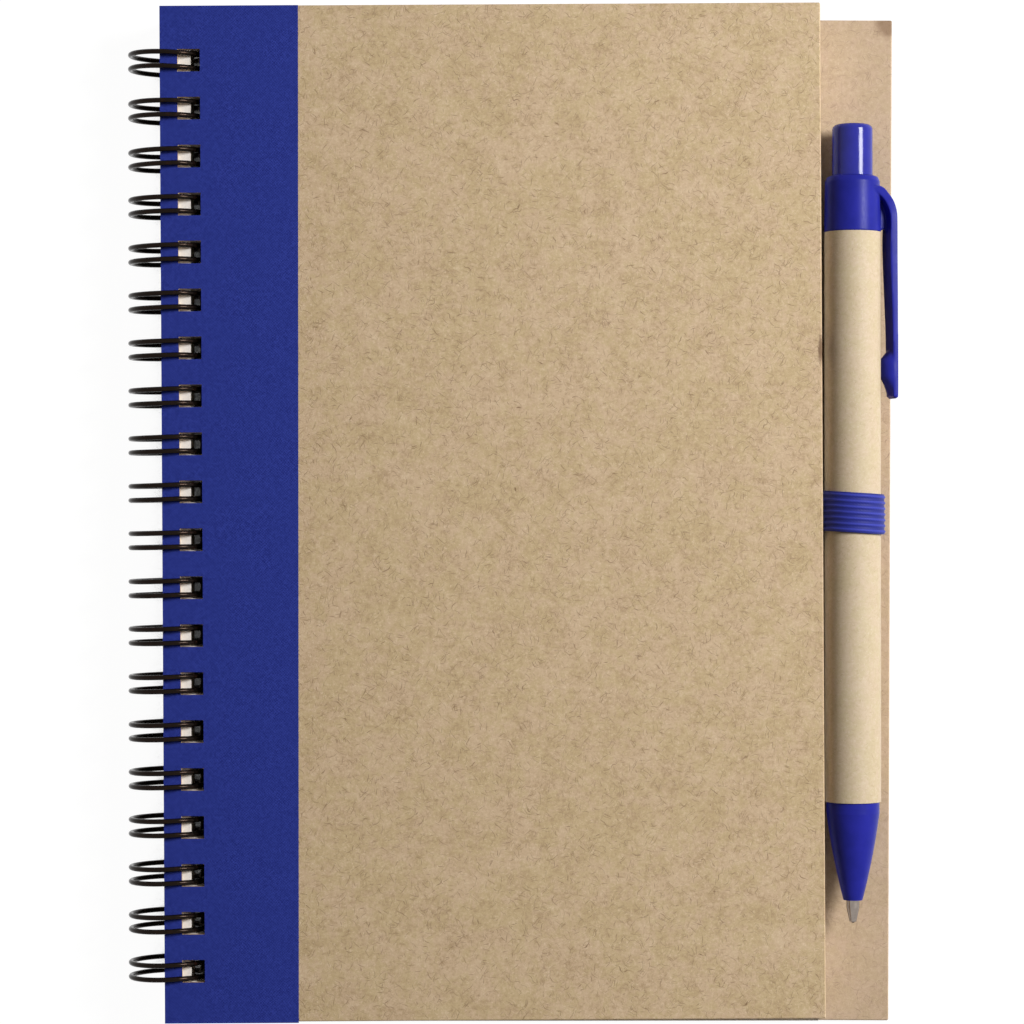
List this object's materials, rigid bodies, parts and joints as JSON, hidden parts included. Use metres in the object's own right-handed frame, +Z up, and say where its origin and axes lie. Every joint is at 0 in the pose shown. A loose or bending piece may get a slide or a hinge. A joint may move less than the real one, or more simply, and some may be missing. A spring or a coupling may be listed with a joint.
{
  "type": "spiral notebook with pen",
  "caption": "Wire-bound notebook with kraft board covers and a paper spine strip, holding a click pen in an elastic loop on its wider back cover.",
  "frame": {"origin": "centre of the notebook's outline, on the plane that touches the underside of the wire loops", "axes": "+X from the binding to the open edge, +Y along the spine to the end where the pen's button is, +Z up through the front cover"},
  "size_m": [0.137, 0.1813, 0.0145],
  "materials": {
    "kraft_board": "matte brown board with short dark fibres",
    "kraft_paper": "smooth rolled kraft paper",
    "blue_paper": "embossed paper, satin",
    "white_paper": "uncoated writing paper",
    "coated_wire": "gloss black coating on steel wire",
    "blue_elastic": "ribbed woven elastic",
    "blue_plastic": "moulded, satin gloss",
    "white_plastic": "moulded",
    "spring_steel": "drawn wire",
    "clear_plastic": "extruded tube, milky",
    "blue_ink": "paste ink",
    "nickel_brass": "turned, nickel plated",
    "dark_steel": "polished ball, inked"
  },
  "bodies": {
    "back_half": {"back_cover": "kraft_board", "binding_wire": "coated_wire", "pen_loop": "blue_elastic", "pen_barrel": "kraft_paper", "pen_clip_collar": "blue_plastic", "pen_nose_cone": "blue_plastic", "pen_spring": "spring_steel"},
    "leaves": {"page_block": "white_paper"},
    "front": {"front_cover": "kraft_board", "spine_strip": "blue_paper"},
    "click_works": {"pen_button": "blue_plastic", "pen_cam": "white_plastic", "refill_tube": "clear_plastic", "refill_ink": "blue_ink", "refill_point": "nickel_brass", "point_ball": "dark_steel"}
  },
  "joints": [
    {"name": "leaves_hinge", "type": "hinge", "parent": "back_half", "child": "leaves", "pos_m": [-0.06095, 0, 0.00715], "axis": [0, -1, 0], "range_deg": [0, 50]},
    {"name": "front_cover_hinge", "type": "hinge", "parent": "leaves", "child": "front", "pos_m": [-0.06095, 0, 0.00715], "axis": [0, -1, 0], "range_deg": [0, 110]},
    {"name": "pen_click", "type": "slide", "parent": "back_half", "child": "click_works", "axis": [0, 1, 0], "range_m": [-0.0012, 0.005], "stiffness_N_per_m": 120, "deforming": ["pen_spring"]}
  ]
}
